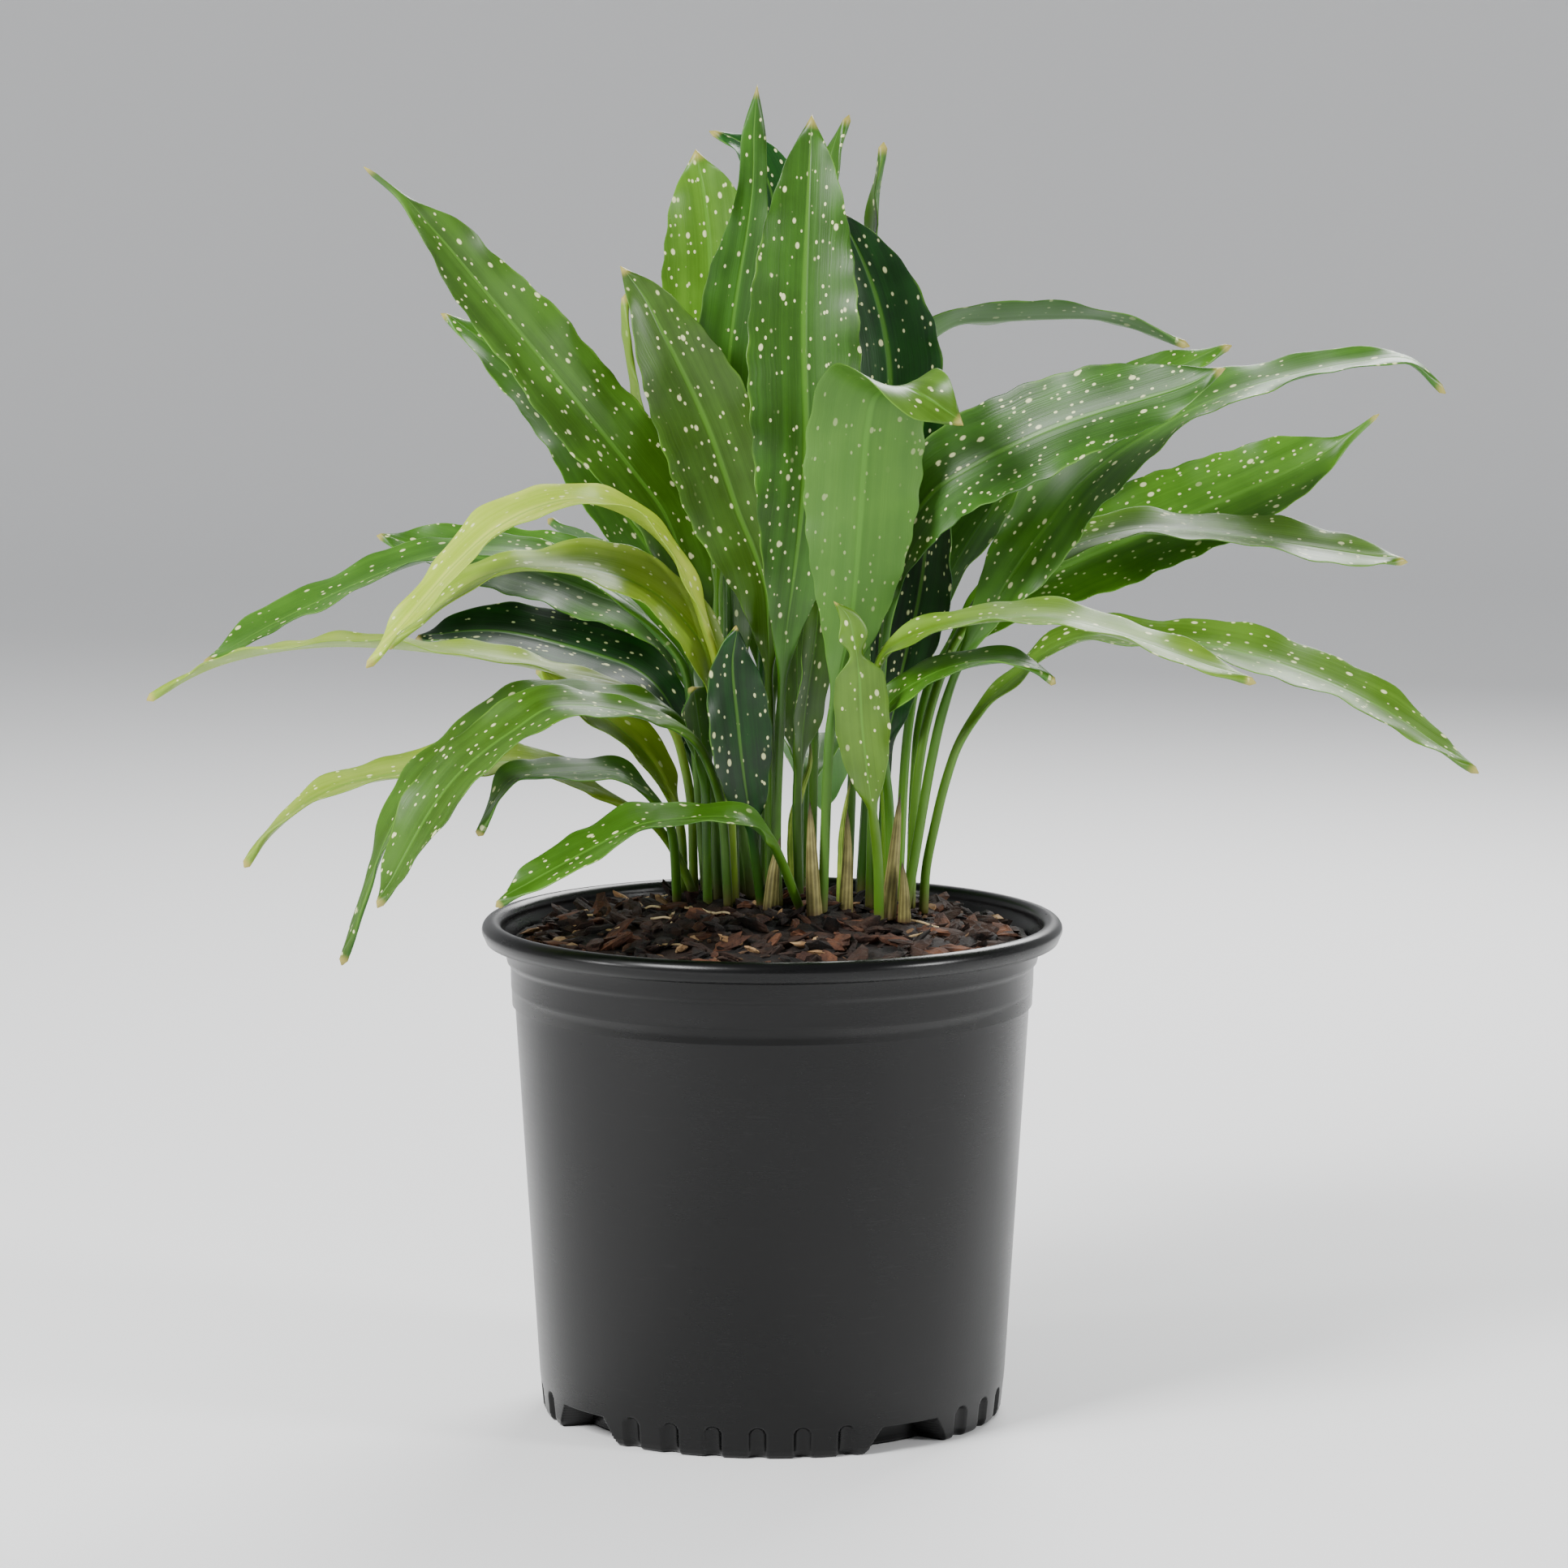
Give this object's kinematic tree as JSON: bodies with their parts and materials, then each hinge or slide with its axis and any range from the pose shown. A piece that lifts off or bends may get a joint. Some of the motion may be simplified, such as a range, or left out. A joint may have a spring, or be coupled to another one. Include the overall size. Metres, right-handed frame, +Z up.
{
  "type": "potted cast iron plant",
  "caption": "Potted foliage plant with long arching spotted leaves rising singly from a heaped bark mix in a tapered black nursery pot.",
  "frame": {"origin": "on the pot's axis at the flat underside of its floor", "axes": "+Z up, -Y the front that the picture shows, +X to the right"},
  "size_m": [0.636, 0.38, 0.64],
  "materials": {
    "pot_plastic": "satin black, moulded",
    "bark_mix": "loose bark mix",
    "leaf_green": "glossy leathery leaf with cream spots",
    "young_leaf": "young rolled leaf",
    "sheath_khaki": "dry sheath leaf"
  },
  "bodies": {
    "root": {"leaf_back_arching": "leaf_green", "leaf_back_arching_left": "leaf_green", "leaf_back_arching_right": "leaf_green", "leaf_back_curled_tip": "leaf_green", "leaf_back_edge_on": "leaf_green", "leaf_back_left_pale": "leaf_green", "leaf_back_low": "leaf_green", "leaf_back_narrow": "leaf_green", "leaf_back_right_arching": "leaf_green", "leaf_back_right_broad": "leaf_green", "leaf_behind_spear": "leaf_green", "leaf_centre_left": "leaf_green", "leaf_centre_tall": "leaf_green", "leaf_centre_wavy": "leaf_green", "leaf_front_centre": "leaf_green", "leaf_front_dark": "leaf_green", "leaf_front_folded_tip": "leaf_green", "leaf_front_left_drooping": "leaf_green", "leaf_front_low": "leaf_green", "leaf_front_right_arching": "leaf_green", "leaf_front_right_small": "leaf_green", "leaf_inner_back": "leaf_green", "leaf_inner_left": "leaf_green", "leaf_left_broad": "leaf_green", "leaf_left_dark": "leaf_green", "leaf_left_drooping": "leaf_green", "leaf_left_high": "leaf_green", "leaf_left_high_behind": "leaf_green", "leaf_left_long": "leaf_green", "leaf_left_low_behind": "leaf_green", "leaf_left_low_long": "leaf_green", "leaf_left_low_small": "leaf_green", "leaf_left_twisted": "leaf_green", "leaf_left_yellow_arch": "leaf_green", "leaf_left_yellow_green": "leaf_green", "leaf_pale_edge_on": "leaf_green", "leaf_right_bright_behind": "leaf_green", "leaf_right_bright_broad": "leaf_green", "leaf_right_dark": "leaf_green", "leaf_right_high_broad": "leaf_green", "leaf_right_long_folded": "leaf_green", "leaf_right_low_drooping": "leaf_green", "leaf_right_middle": "leaf_green", "leaf_spear": "leaf_green", "leaf_torn": "leaf_green", "pot": "pot_plastic", "potting_mix": "bark_mix", "sheath_front": "sheath_khaki", "sheath_left": "sheath_khaki", "sheath_middle": "sheath_khaki", "sheath_right": "sheath_khaki", "sheath_short": "sheath_khaki", "young_leaf_bright": "young_leaf", "young_leaf_centre": "young_leaf", "young_leaf_thin": "young_leaf"}
  },
  "joints": []
}
